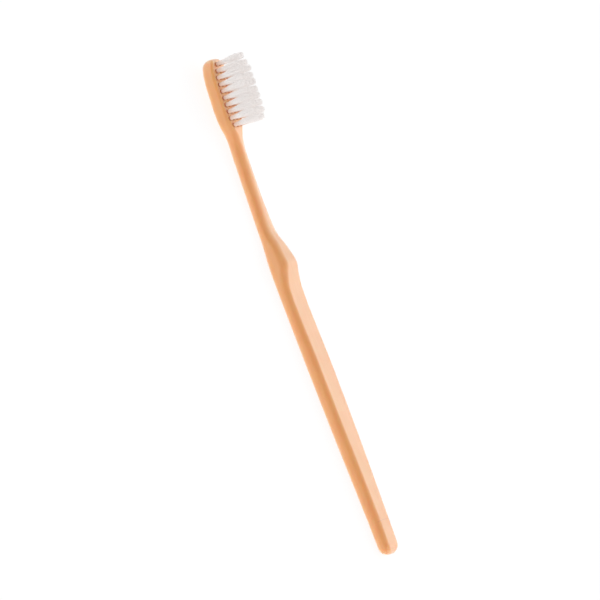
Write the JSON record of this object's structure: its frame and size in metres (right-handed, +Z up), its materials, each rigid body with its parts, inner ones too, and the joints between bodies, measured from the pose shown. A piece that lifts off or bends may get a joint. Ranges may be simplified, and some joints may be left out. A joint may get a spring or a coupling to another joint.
{
  "type": "manual toothbrush",
  "caption": "Slim manual toothbrush with a flat straight handle, a raised thumb stop, a narrow neck and a small oval head carrying rows of flat-trimmed bristle tufts.",
  "frame": {"origin": "on the surface that the brush lies on (the flat back of its grip), half way along the brush and in the middle across", "axes": "+X towards the end of the handle, +Z up out of the bristle side, +Y across the brush"},
  "size_m": [0.19, 0.0116, 0.019],
  "materials": {
    "handle": "satin moulded plastic, peach, slightly translucent",
    "bristles": "drawn nylon filaments, milky translucent white",
    "anchors": "rolled nickel-brass strip, bright, cut edges"
  },
  "bodies": {
    "root": {"handle": "handle", "tuft_row_01_hole_1": "bristles", "tuft_row_01_hole_2": "bristles", "tuft_row_02_hole_1": "bristles", "tuft_row_02_hole_2": "bristles", "tuft_row_02_hole_3": "bristles", "tuft_row_03_hole_1": "bristles", "tuft_row_03_hole_2": "bristles", "tuft_row_03_hole_3": "bristles", "tuft_row_03_hole_4": "bristles", "tuft_row_04_hole_1": "bristles", "tuft_row_04_hole_2": "bristles", "tuft_row_04_hole_3": "bristles", "tuft_row_04_hole_4": "bristles", "tuft_row_05_hole_1": "bristles", "tuft_row_05_hole_2": "bristles", "tuft_row_05_hole_3": "bristles", "tuft_row_05_hole_4": "bristles", "tuft_row_06_hole_1": "bristles", "tuft_row_06_hole_2": "bristles", "tuft_row_06_hole_3": "bristles", "tuft_row_06_hole_4": "bristles", "tuft_row_07_hole_1": "bristles", "tuft_row_07_hole_2": "bristles", "tuft_row_07_hole_3": "bristles", "tuft_row_07_hole_4": "bristles", "tuft_row_08_hole_1": "bristles", "tuft_row_08_hole_2": "bristles", "tuft_row_08_hole_3": "bristles", "tuft_row_08_hole_4": "bristles", "tuft_row_09_hole_1": "bristles", "tuft_row_09_hole_2": "bristles", "tuft_row_09_hole_3": "bristles", "tuft_row_09_hole_4": "bristles", "tuft_row_10_hole_1": "bristles", "tuft_row_10_hole_2": "bristles", "tuft_row_10_hole_3": "bristles", "anchors_row_01": "anchors", "anchors_row_02": "anchors", "anchors_row_03": "anchors", "anchors_row_04": "anchors", "anchors_row_05": "anchors", "anchors_row_06": "anchors", "anchors_row_07": "anchors", "anchors_row_08": "anchors", "anchors_row_09": "anchors", "anchors_row_10": "anchors"}
  },
  "joints": []
}
